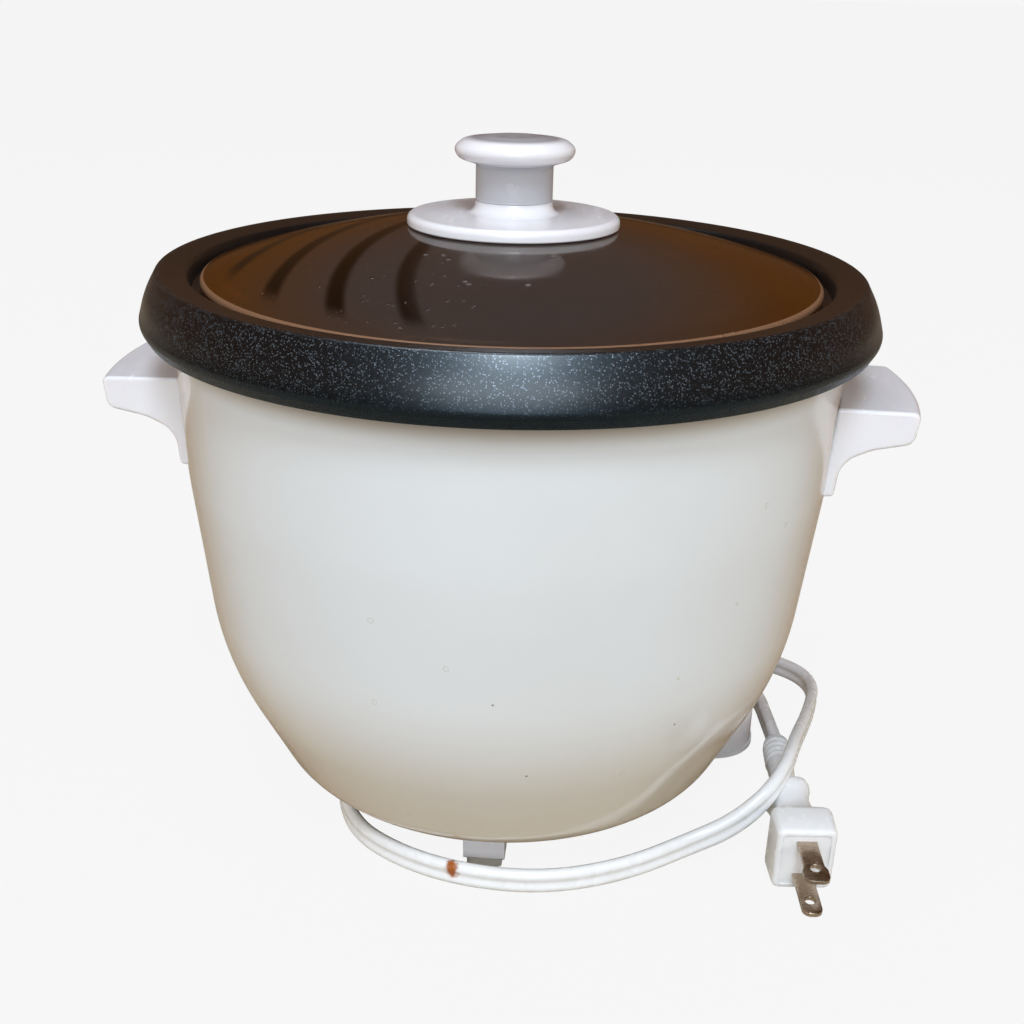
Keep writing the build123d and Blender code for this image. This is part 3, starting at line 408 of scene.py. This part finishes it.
def lathe(name, outline, material, steps=160):
    """Closed outline of (radius, height) points turned about the Z axis."""
    vertices = []
    rings = []
    for radius, height in outline:
        if radius < 1e-6:
            rings.append([len(vertices)] * steps)
            vertices.append(Vector((0.0, 0.0, height)))
            continue
        rings.append(list(range(len(vertices), len(vertices) + steps)))
        for step in range(steps):
            angle = 2 * pi * step / steps
            vertices.append(Vector((radius * cos(angle), radius * sin(angle), height)))
    faces = []
    for first, second in zip(rings, rings[1:] + rings[:1]):
        for step in range(steps):
            corners = [first[step], first[(step + 1) % steps],
                       second[(step + 1) % steps], second[step]]
            distinct = list(dict.fromkeys(corners))
            if len(distinct) > 2:
                faces.append(distinct)
    return new_piece(name, vertices, faces, material)


def place_piece(piece, body, slot, *replaced):
    """Attach a new piece to the body it moves with and hide the parts it stands for; the
    slot, which names what it is made of, is not used.
    """
    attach(piece, body)
    if replaced:
        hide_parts(*replaced)
    return piece


# ---- outer shell ----
def shell_outline(inset):
    """The shell's outline moved inwards by a distance, from the floor's middle up."""
    moved = [(0.0, SHELL_OUTLINE[0][1] + inset)]
    for before, here, after in zip(SHELL_OUTLINE, SHELL_OUTLINE[1:], SHELL_OUTLINE[2:]):
        first = Vector((before[1] - here[1], here[0] - before[0])).normalized()
        second = Vector((here[1] - after[1], after[0] - here[0])).normalized()
        corner = Vector(here[:2]) + (first + second) * inset / (1 + first.dot(second))
        moved.append((corner.x, corner.y, here[2] - inset))
    moved.append((SHELL_OUTLINE[-1][0] - inset, SHELL_OUTLINE[-1][1]))
    return arc_corners(moved, steps=24)[1:]


def make_shell(material):
    """Thin bowl with a rolled-in top flange and an open floor."""
    top = SHELL_OUTLINE[-1][1]
    outside = shell_outline(0.0)
    inside = shell_outline(SHELL_WALL)
    rim = arc_corners([(outside[-1].x, top, 0.0009), (SHELL_FLANGE, top),
                       (SHELL_FLANGE, top - SHELL_WALL), (inside[-1].x, top - SHELL_WALL)])
    below_rim = top - 0.003
    loop = [Vector((FLOOR_HOLE, outside[0].y))] + outside[:-1] + rim
    loop += [point for point in reversed(inside) if point.y < below_rim]
    loop += [Vector((FLOOR_HOLE, inside[0].y))]
    shell = lathe("shell_body", loop, material, 224)
    place_piece(shell, "housing", "shell_enamel", "outer_shell")


# ---- pot and lid ----
def make_pot(material):
    """Deep drawn pot with a rolled brim, in one closed skin."""
    ledge_low = LEDGE_HEIGHT - POT_SHEET
    inner_floor = POT_FLOOR + POT_SHEET
    outline = [
        (0.0, POT_FLOOR), (0.0932, POT_FLOOR, 0.022), (0.0957, ledge_low, 0.001),
        (0.1013, ledge_low, 0.0015), (0.1019, 0.1817, 0.0009), (0.1087, 0.1829, 0.001),
        (0.1123, 0.177, 0.025), (0.1143, 0.17, 0.003), (0.1123, 0.1666, 0.0004),
        (0.1136, 0.166, 0.0005), (0.1158, 0.1698, 0.0032), (0.1136, 0.1776, 0.03),
        (0.1098, 0.1844, 0.0014), (0.1006, 0.1831, 0.0016), (0.0998, LEDGE_HEIGHT, 0.001),
        (0.0942, LEDGE_HEIGHT, 0.002), (0.0917, inner_floor, 0.0205), (0.0, inner_floor)]
    pot = lathe("pot_body", arc_corners(outline), material, 224)
    place_piece(pot, "pot", "pot_coating", "inner_pot")


def glass_height(radius, crown):
    """Height of the lid's spherical surface at a distance from its middle."""
    sag = LID_CROWN - LEDGE_HEIGHT - LID_THICKNESS
    ball = (LID_RADIUS ** 2 + sag ** 2) / (2 * sag)
    return crown - ball + sqrt(ball ** 2 - radius ** 2)


def make_lid(material):
    """Domed glass with a polished round edge and a hole for the knob's screw."""
    inner = LID_RADIUS - LID_SEAT
    before_edge = LID_RADIUS - 0.0008
    steps = 28
    seat = LEDGE_HEIGHT + 0.0001
    outline = []
    for step in range(steps):
        radius = KNOB_BORE + (before_edge - KNOB_BORE) * step / steps
        outline.append((radius, glass_height(radius, LID_CROWN)))
    outline += [(LID_RADIUS, glass_height(LID_RADIUS, LID_CROWN), 0.0017),
                (LID_RADIUS, seat, 0.0012), (inner, seat)]
    for step in range(1, steps + 1):
        radius = inner + (KNOB_BORE - inner) * step / steps
        outline.append((radius, glass_height(radius, LID_CROWN - LID_THICKNESS)))
    lid = lathe("lid_dome", arc_corners(outline), material, 224)
    place_piece(lid, "lid", "lid_glass", "glass_lid")


def make_knob(plastic):
    """Flange that hugs the glass, and the post and cap above it."""
    gap = 0.00005
    flange = [(0.0325, glass_height(0.0325, LID_CROWN) + 2 * gap),
              (FLANGE_RADIUS, 0.1963, 0.0005), (FLANGE_RADIUS, 0.1996, 0.002),
              (0.0123, FLANGE_TOP, 0.003), (POST_RADIUS, POST_FOOT, 0.0005),
              (KNOB_BORE, POST_FOOT), (KNOB_BORE, glass_height(KNOB_BORE, LID_CROWN) + gap)]
    for part in range(1, 8):
        radius = FLANGE_RADIUS * part / 8
        flange.append((radius, glass_height(radius, LID_CROWN) + gap))
    piece = lathe("knob_base", arc_corners(flange), plastic, 128)
    place_piece(piece, "lid", "white_plastic", "knob_flange")
    grip = [(0.0, POST_FOOT), (POST_RADIUS, POST_FOOT, 0.0004),
            (POST_RADIUS, 0.2146, 0.001), (0.0176, 0.2164, 0.003),
            (0.0191, 0.2194, 0.0022), (0.016, 0.222, 0.004), (0.008, KNOB_TOP, 0.02),
            (0.0, KNOB_TOP)]
    piece = lathe("knob_top", arc_corners(grip), plastic, 128)
    place_piece(piece, "lid", "white_plastic", "knob_grip")


# ---- handles ----
def shell_radius(height):
    """Outside radius of the shell at a height, between its arcs' ends."""
    outline = shell_outline(0.0)
    for low, high in zip(outline, outline[1:]):
        if low.y <= height <= high.y and high.y > low.y:
            return low.x + (high.x - low.x) * (height - low.y) / (high.y - low.y)
    return outline[-1].x


def make_handle(name, side, material, node):
    """Curved ledge with flat ends and a flared foot that follows the shell."""
    outer = arc_corners([
        (shell_radius(HANDLE_TOP) - HANDLE_SUNK, HANDLE_TOP),
        (0.13, HANDLE_TOP - 0.0005, 0.0022), (0.1288, 0.1384, 0.0035),
        (0.117, 0.1359, 0.014), (0.1081, 0.1316, 0.009),
        (0.107, HANDLE_FOOT + 0.0003, 0.0012),
        (shell_radius(HANDLE_FOOT) - HANDLE_SUNK, HANDLE_FOOT)], steps=6)
    inner = [Vector((shell_radius(height) - HANDLE_SUNK, height))
             for height in (0.1245, 0.129, 0.1335, 0.138, 0.1425)]
    loop = outer + inner
    columns = 28
    vertices = []
    for column in range(columns + 1):
        across = HANDLE_HALF_WIDTH * (2 * column / columns - 1)
        for point in loop:
            along = sqrt(point.x ** 2 - across ** 2)
            vertices.append(Vector((side * along, across, point.y)))
    count = len(loop)
    faces = [list(range(count)), list(range(columns * count, (columns + 1) * count))]
    for column in range(columns):
        for index in range(count):
            after = (index + 1) % count
            faces.append([column * count + index, column * count + after,
                          (column + 1) * count + after, (column + 1) * count + index])
    handle = new_piece(name, vertices, faces, material)
    bevel = handle.modifiers.new("bevel", "BEVEL")
    bevel.width = 0.0017
    bevel.segments = 4
    bevel.limit_method = "ANGLE"
    bevel.angle_limit = radians(50.0)
    bevel.harden_normals = True
    place_piece(handle, "housing", "white_plastic", node)


# ---- cord and plug ----
# The route's corners, in millimetres, from the housing's strain relief to the plug's.
CORD_ROUTE = [
    (-52.0, -22.0, 9.98), (-52.0, -37.0, 9.9), (-45.0, -53.0, 4.2), (-28.0, -66.5, 4.2),
    (-6.0, -74.5, 4.2), (20.0, -75.5, 4.2), (45.0, -66.5, 4.4), (67.0, -54.0, 7.5),
    (80.5, -51.5, 14.0), (91.5, -46.0, 22.4), (98.5, -33.5, 26.6), (103.0, -16.0, 24.8),
    (109.5, 8.0, 17.3), (116.0, 34.0, 10.0), (120.8, 57.0, 5.4), (116.5, 72.0, 4.3),
    (102.0, 81.5, 4.2), (84.0, 98.0, 4.2), (67.0, 124.0, 4.2), (46.0, 155.0, 4.2),
    (18.0, 181.0, 4.2), (-16.0, 200.0, 4.2), (-53.0, 210.0, 4.2), (-90.0, 208.0, 4.2),
    (-116.5, 182.5, 4.2), (-118.5, 146.0, 4.2), (-96.0, 117.0, 4.2), (-62.0, 111.0, 4.2),
    (-27.0, 118.5, 4.2), (10.0, 123.0, 4.2), (44.0, 114.0, 4.2), (68.0, 94.0, 4.2),
    (86.0, 72.0, 4.2), (98.0, 51.0, 4.4), (99.5, 29.0, 6.0), (100.4, 7.0, 9.2)]


def cord_section():
    """Outline of two round cores side by side with a web between them."""
    lobe = CORD_THICKNESS / 2
    reach = CORD_WIDTH / 2 - lobe
    points = []
    for side in (1, -1):
        for step in range(13):
            angle = radians(-130 + 260 * step / 12)
            points.append((side * lobe * sin(angle), side * (reach + lobe * cos(angle))))
    data = bpy.data.curves.new("cord_section", "CURVE")
    data.dimensions = "2D"
    spline = data.splines.new("POLY")
    spline.points.add(len(points) - 1)
    for target, (x, y) in zip(spline.points, points):
        target.co = (x, y, 0.0, 1.0)
    spline.use_cyclic_u = True
    section = bpy.data.objects.new("cord_section", data)
    bpy.context.scene.collection.objects.link(section)
    section.hide_render = True
    section.hide_viewport = True
    return section


def make_cord(material):
    """Flat two-core cord, standing on its edge, along one smooth spline."""
    data = bpy.data.curves.new("flat_cord", "CURVE")
    data.dimensions = "3D"
    data.resolution_u = 16
    data.twist_mode = "Z_UP"
    data.bevel_mode = "OBJECT"
    data.bevel_object = cord_section()
    data.use_fill_caps = True
    spline = data.splines.new("NURBS")
    spline.points.add(len(CORD_ROUTE) - 1)
    for point, corner in zip(spline.points, CORD_ROUTE):
        point.co = (*(MM * part for part in corner), 1.0)
    spline.order_u = 3
    spline.use_endpoint_u = True
    cord = bpy.data.objects.new("flat_cord", data)
    bpy.context.scene.collection.objects.link(cord)
    data.materials.append(material)
    place_piece(cord, "housing", "cord_pvc", "power_cord")
    return cord


# ---- plug and strain reliefs ----
PLUG_FACE = Vector((0.1016, -0.066, 0.0126))
PLUG_LENGTH = 0.035
PLUG_YAW = radians(4.5)
PLUG_DIP = radians(3.5)
PLUG_FORWARD = Vector((sin(PLUG_YAW) * cos(PLUG_DIP), -cos(PLUG_YAW) * cos(PLUG_DIP),
                       -sin(PLUG_DIP)))
PLUG_ACROSS = Vector((cos(PLUG_YAW), sin(PLUG_YAW), 0.0))
PLUG_UP = PLUG_FORWARD.cross(PLUG_ACROSS)
# Stations of the plug, in millimetres: distance behind its face, width, height and corner.
PLUG_STATIONS = [
    (35.0, 10.8, 10.2, 3.8), (34.8, 13.2, 12.6, 4.2), (34.0, 14.4, 13.8, 4.4),
    (32.4, 15.0, 14.2, 4.4), (31.0, 14.8, 14.0, 4.4), (29.4, 13.7, 13.3, 4.0),
    (27.4, 12.6, 12.5, 3.6), (25.4, 12.2, 12.1, 3.4), (22.5, 12.2, 12.1, 3.2),
    (19.5, 12.6, 12.8, 3.0), (17.6, 13.6, 14.4, 3.0), (16.0, 15.0, 17.0, 3.0),
    (14.6, 16.4, 19.2, 3.0), (13.6, 17.4, 20.6, 3.0), (12.6, 18.5, 22.2, 2.8),
    (11.7, 19.3, 23.2, 2.6), (10.6, 19.6, 23.6, 2.6), (5.0, 19.2, 23.2, 2.4),
    (1.6, 18.9, 22.9, 2.3), (0.7, 18.5, 22.5, 2.2), (0.2, 17.8, 21.8, 2.0),
    (0.0, 17.0, 21.0, 1.8), (0.0, 15.4, 19.4, 1.4), (0.5, 14.8, 18.8, 1.2)]
BLADE_SPACING = 0.0127
BLADE_HALF_WIDTH = 0.003175
BLADE_WIDE_HALF = 0.003975    # half width of the upper blade's tip
BLADE_LENGTH = 0.0175
BLADE_ROOT = 0.008            # how far the blades reach into the plug
BLADE_THICKNESS = 0.0015
BLADE_EDGE = 0.00025
BLADE_HOLE = (0.0117, 0.0016)         # distance from the face, and radius


def rounded_rectangle(width, height, corner, steps=6):
    """Corners of a rounded rectangle about the origin, anticlockwise."""
    points = []
    for turn, side, lift in ((0, 1, 1), (90, -1, 1), (180, -1, -1), (270, 1, -1)):
        for step in range(steps + 1):
            angle = radians(turn + 90 * step / steps)
            points.append((side * (width / 2 - corner) + corner * cos(angle),
                           lift * (height / 2 - corner) + corner * sin(angle)))
    return points


def loft(name, rings, material):
    """Skin over rings with the same number of points, closed at both ends."""
    count = len(rings[0])
    vertices = [point for ring in rings for point in ring]
    last = (len(rings) - 1) * count
    faces = [list(range(count)), list(range(last, last + count))]
    for start in range(0, last, count):
        for index in range(count):
            after = (index + 1) % count
            faces.append([start + index, start + after, start + count + after,
                          start + count + index])
    return new_piece(name, vertices, faces, material)


def make_plug(material):
    """Moulded plug: rear lip, waist, flared shoulder and a block with a sunk face."""
    rings = []
    for behind, width, height, corner in PLUG_STATIONS:
        middle = PLUG_FACE - PLUG_FORWARD * MM * behind
        rings.append([middle + PLUG_ACROSS * MM * x + PLUG_UP * MM * y
                      for x, y in rounded_rectangle(width, height, corner)])
    plug = loft("plug_moulding", rings, material)
    return place_piece(plug, "housing", "cord_pvc", "plug_body")


def plate_points(loops, thickness, edge):
    """Mesh of a flat plate with rounded edges, from an outline and the holes in it."""
    data = bpy.data.curves.new("plate", "CURVE")
    data.dimensions = "2D"
    data.fill_mode = "BOTH"
    data.extrude = thickness / 2 - edge
    data.bevel_depth = edge
    data.bevel_resolution = 2
    data.offset = -edge
    for loop in loops:
        spline = data.splines.new("POLY")
        spline.points.add(len(loop) - 1)
        for target, (x, y) in zip(spline.points, loop):
            target.co = (x, y, 0.0, 1.0)
        spline.use_cyclic_u = True
    plate = bpy.data.objects.new("plate", data)
    bpy.context.scene.collection.objects.link(plate)
    view = bpy.context.evaluated_depsgraph_get()
    mesh = bpy.data.meshes.new_from_object(plate.evaluated_get(view))
    points = [vertex.co.copy() for vertex in mesh.vertices]
    faces = [list(face.vertices) for face in mesh.polygons]
    bpy.data.objects.remove(plate)
    bpy.data.curves.remove(data)
    bpy.data.meshes.remove(mesh)
    return points, faces


def make_blades(material):
    """Two flat blades with round tips and a hole each; the upper one widens at its tip."""
    vertices = []
    faces = []
    along, bore = BLADE_HOLE
    hole = [(bore * cos(2 * pi * step / 24), along - bore * sin(2 * pi * step / 24))
            for step in range(24)]
    narrow = BLADE_HALF_WIDTH
    for side, wide in ((1, BLADE_WIDE_HALF), (-1, narrow)):
        outer = arc_corners([
            (-narrow, -BLADE_ROOT), (narrow, -BLADE_ROOT), (narrow, 0.0105), (wide, 0.0125),
            (wide, BLADE_LENGTH, 0.0026), (-wide, BLADE_LENGTH, 0.0026), (-wide, 0.0125),
            (-narrow, 0.0105)], steps=8)
        distinct = [point for point, after in zip(outer, outer[1:] + outer[:1])
                    if (point - after).length > 1e-6]
        points, plate = plate_points([distinct, hole], BLADE_THICKNESS, BLADE_EDGE)
        middle = PLUG_FACE + PLUG_UP * side * BLADE_SPACING / 2
        faces += [[len(vertices) + index for index in face] for face in plate]
        vertices += [middle + PLUG_ACROSS * point.x + PLUG_FORWARD * point.y
                     + PLUG_UP * point.z for point in points]
    blades = new_piece("plug_prongs", vertices, faces, material)
    return place_piece(blades, "housing", "blade_metal", "plug_blades")


def make_relief(name, start, end, profile, material, node):
    """Ribbed round sleeve between two points, from (share of the length, radius) pairs."""
    run = end - start
    side = run.cross(Vector((0.0, 0.0, 1.0))).normalized()
    lift = side.cross(run).normalized()
    turns = [2 * pi * step / 32 for step in range(32)]
    rings = []
    for share, radius in profile:
        middle = start + run * share
        rings.append([middle + (side * cos(turn) + lift * sin(turn)) * radius
                      for turn in turns])
    sleeve = loft(name, rings, material)
    return place_piece(sleeve, "housing", "cord_pvc", node)


def ribs(first, last, count, low, high):
    """Round ribs along a share of a sleeve's length."""
    profile = []
    each = 10
    steps = each * count
    for step in range(steps + 1):
        lift = (1 - cos(2 * pi * step / each)) / 2
        profile.append((first + (last - first) * step / steps, low + (high - low) * lift))
    return profile


# ---- floor and lights ----
def add_floor(name, height, look, seen_by_camera):
    """Large level plane, seen only by the camera or only by light that bounces."""
    reach = 40.0
    corners = [(-reach, -reach, height), (reach, -reach, height), (reach, reach, height),
               (-reach, reach, height)]
    floor = new_piece(name, corners, [[0, 1, 2, 3]], look.material, smooth=False)
    floor.visible_camera = seen_by_camera
    for kind in ("diffuse", "glossy", "transmission"):
        setattr(floor, "visible_" + kind, not seen_by_camera)
    floor.visible_shadow = False


def add_lamp(name, where, aim, size, power, color, mirrored):
    """Soft round lamp that faces a point, and may be left out of reflections."""
    data = bpy.data.lights.new(name, "AREA")
    data.shape = "DISK"
    data.size = size
    data.energy = power
    data.color = color
    lamp = bpy.data.objects.new(name, data)
    lamp.location = where
    away = Vector(aim) - Vector(where)
    lamp.rotation_euler = away.to_track_quat("-Z", "Y").to_euler()
    lamp.visible_glossy = mirrored
    bpy.context.scene.collection.objects.link(lamp)


def make_stage():
    """Plain pale floor, dim warm room, cool lamps on the camera's side and soft fills."""
    bpy.context.scene.view_settings.view_transform = "Standard"
    world = bpy.data.worlds.new("room")
    world.use_nodes = True
    tree = world.node_tree
    room = tree.nodes["Background"]
    room.inputs["Color"].default_value = (0.10, 0.048, 0.022, 1.0)
    pale = tree.nodes.new("ShaderNodeBackground")
    pale.inputs["Color"].default_value = (0.921, 0.921, 0.921, 1.0)
    which = tree.nodes.new("ShaderNodeLightPath")
    blend = tree.nodes.new("ShaderNodeMixShader")
    tree.links.new(which.outputs["Is Camera Ray"], blend.inputs["Fac"])
    tree.links.new(room.outputs["Background"], blend.inputs[1])
    tree.links.new(pale.outputs["Background"], blend.inputs[2])
    tree.links.new(blend.outputs["Shader"], tree.nodes["World Output"].inputs["Surface"])
    bpy.context.scene.world = world
    pale_floor = Shader("pale_floor", (0.02, 0.02, 0.02), 1.0, Specular_IOR_Level=0.0,
                        Emission_Color=(0.905, 0.905, 0.905, 1.0), Emission_Strength=1.0)
    warm_floor = Shader("warm_floor", (0.48, 0.42, 0.33), 0.8, Specular_IOR_Level=0.1)
    add_floor("floor", 0.0, pale_floor, True)
    add_floor("floor_glow", -0.001, warm_floor, False)
    # Name, place, height aimed at, width, watts, colour, and whether it shows in gloss.
    for name, where, aim, size, power, color, mirrored in (
            ("window", (0.12, -1.05, 1.60), 0.1, 0.5, 19.0, (0.78, 0.895, 1.0), True),
            ("sky", (0.1, -1.6, 0.80), 0.1, 1.2, 13.5, (0.80, 0.90, 1.0), True),
            ("overhead", (-0.3, 0.1, 1.9), 0.15, 0.8, 8.0, (0.88, 0.93, 1.0), True),
            ("fill_left", (-1.6, -0.8, 0.75), 0.1, 1.0, 12.0, (1.0, 0.96, 0.88), False),
            ("fill_right", (1.6, -0.8, 0.75), 0.1, 1.0, 11.5, (1.0, 0.96, 0.86), False),
            ("ceiling", (0.0, 1.3, 1.2), 0.15, 1.3, 1.3, (0.86, 0.95, 1.0), False),
            ("glow_left", (-1.5, 1.1, 0.7), 0.1, 0.8, 1.6, (1.0, 0.48, 0.16), False),
            ("glow_right", (1.5, 1.1, 0.7), 0.1, 0.8, 1.6, (1.0, 0.48, 0.16), False)):
        add_lamp(name, where, (0, 0, aim), size, power, color, mirrored)


# ---- assemble ----
make_camera()
looks = {
    "shell_enamel": enamel(),
    "pot_coating": pot_coating(),
    "lid_glass": lid_glass(),
    "white_plastic": white_plastic(),
    "panel_plastic": white_plastic("panel_plastic", (0.42, 0.43, 0.45), 0.3),
    "lever_plastic": white_plastic("lever_plastic", (0.72, 0.72, 0.74), 0.2),
    "steel": metal("steel", (0.52, 0.52, 0.53), 0.3),
    "aluminium": metal("aluminium", (0.66, 0.66, 0.67), 0.34, (1.0, 1.0, 1.0)),
    "rubber": rubber("rubber", (0.48, 0.47, 0.44), 0.6),
    "black_plastic": rubber("black_plastic", (0.02, 0.02, 0.02), 0.5),
    "magnet": metal("magnet", (0.12, 0.12, 0.13), 0.5),
    "red_lens": lens("red_lens", (0.6, 0.05, 0.02)),
    "amber_lens": lens("amber_lens", (0.75, 0.32, 0.02)),
    "neon": lens("neon", (0.8, 0.7, 0.6)),
    "cord_pvc": cord_plastic(),
    "blade_metal": metal("blade_metal", (0.50, 0.40, 0.31), 0.3, (1.0, 8.0, 1.0), 0.5),
}
for entry in frame["record"]["subparts"]:
    mesh = cad[entry["node"]].data
    mesh.materials.clear()
    mesh.materials.append(looks[entry["material_slot"]])
make_shell(looks["shell_enamel"])
make_pot(looks["pot_coating"])
make_lid(looks["lid_glass"])
make_knob(looks["white_plastic"])
make_handle("handle_right", 1, looks["white_plastic"], "right_handle")
make_handle("handle_left", -1, looks["white_plastic"], "left_handle")
cord = make_cord(looks["cord_pvc"])
plug = make_plug(looks["cord_pvc"])
blades = make_blades(looks["blade_metal"])
cord_start = MM * Vector(CORD_ROUTE[0])
cord_end = MM * Vector(CORD_ROUTE[-1])
plug_rear = PLUG_FACE - PLUG_FORWARD * (PLUG_LENGTH - 0.0004)     # just inside the lip
plug_sleeve = make_relief(
    "plug_sleeve", plug_rear, cord_end,
    [(0.0, 0.0041), (0.2, 0.0042), (0.42, 0.0046), (0.5, 0.0047)]
    + ribs(0.52, 0.93, 4, 0.0046, 0.0051) + [(0.97, 0.0046), (1.0, 0.0040)],
    looks["cord_pvc"], "plug_relief")
cord_sleeve = make_relief(
    "cord_sleeve", cord_start, Vector((cord_start.x, 0.008, cord_start.z)),
    [(0.0, 0.0036), (0.02, 0.0040)] + ribs(0.06, 0.62, 6, 0.0035, 0.0040)
    + [(0.66, 0.0034), (1.0, 0.0033)], looks["cord_pvc"], "cord_relief")
make_stage()
